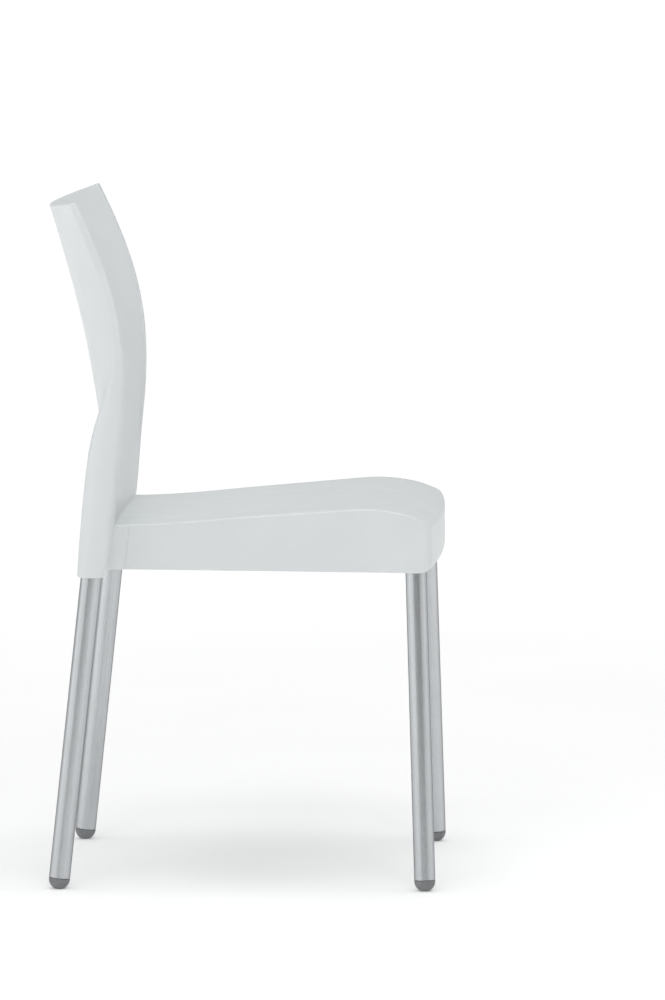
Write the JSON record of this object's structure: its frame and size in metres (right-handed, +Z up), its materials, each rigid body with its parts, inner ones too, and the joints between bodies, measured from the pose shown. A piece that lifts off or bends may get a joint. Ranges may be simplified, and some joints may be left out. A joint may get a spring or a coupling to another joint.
{
  "type": "stacking chair",
  "caption": "Armless stacking chair: one moulded shell for seat and curved back, on round metal tube legs with domed feet.",
  "frame": {"origin": "on the floor, under the centre of the chair's bounding box", "axes": "+Z up, -Y to the front of the seat, +X to the sitter's left"},
  "size_m": [0.465, 0.4761, 0.8145],
  "materials": {
    "shell": "satin polypropylene, light cool grey",
    "leg": "satin anodised tube",
    "glide": "dark grey moulded plastic",
    "screw": "zinc-plated",
    "insert": "natural nylon"
  },
  "bodies": {
    "root": {"shell": "shell", "leg_rear_left": "leg", "leg_rear_right": "leg", "leg_front_left": "leg", "leg_front_right": "leg", "glide_rear_left": "glide", "glide_rear_right": "glide", "glide_front_left": "glide", "glide_front_right": "glide", "leg_screw_rear_left": "screw", "leg_screw_rear_right": "screw", "leg_screw_front_left": "screw", "leg_screw_front_right": "screw", "leg_insert_rear_left": "insert", "leg_insert_rear_right": "insert", "leg_insert_front_left": "insert", "leg_insert_front_right": "insert"}
  },
  "joints": []
}
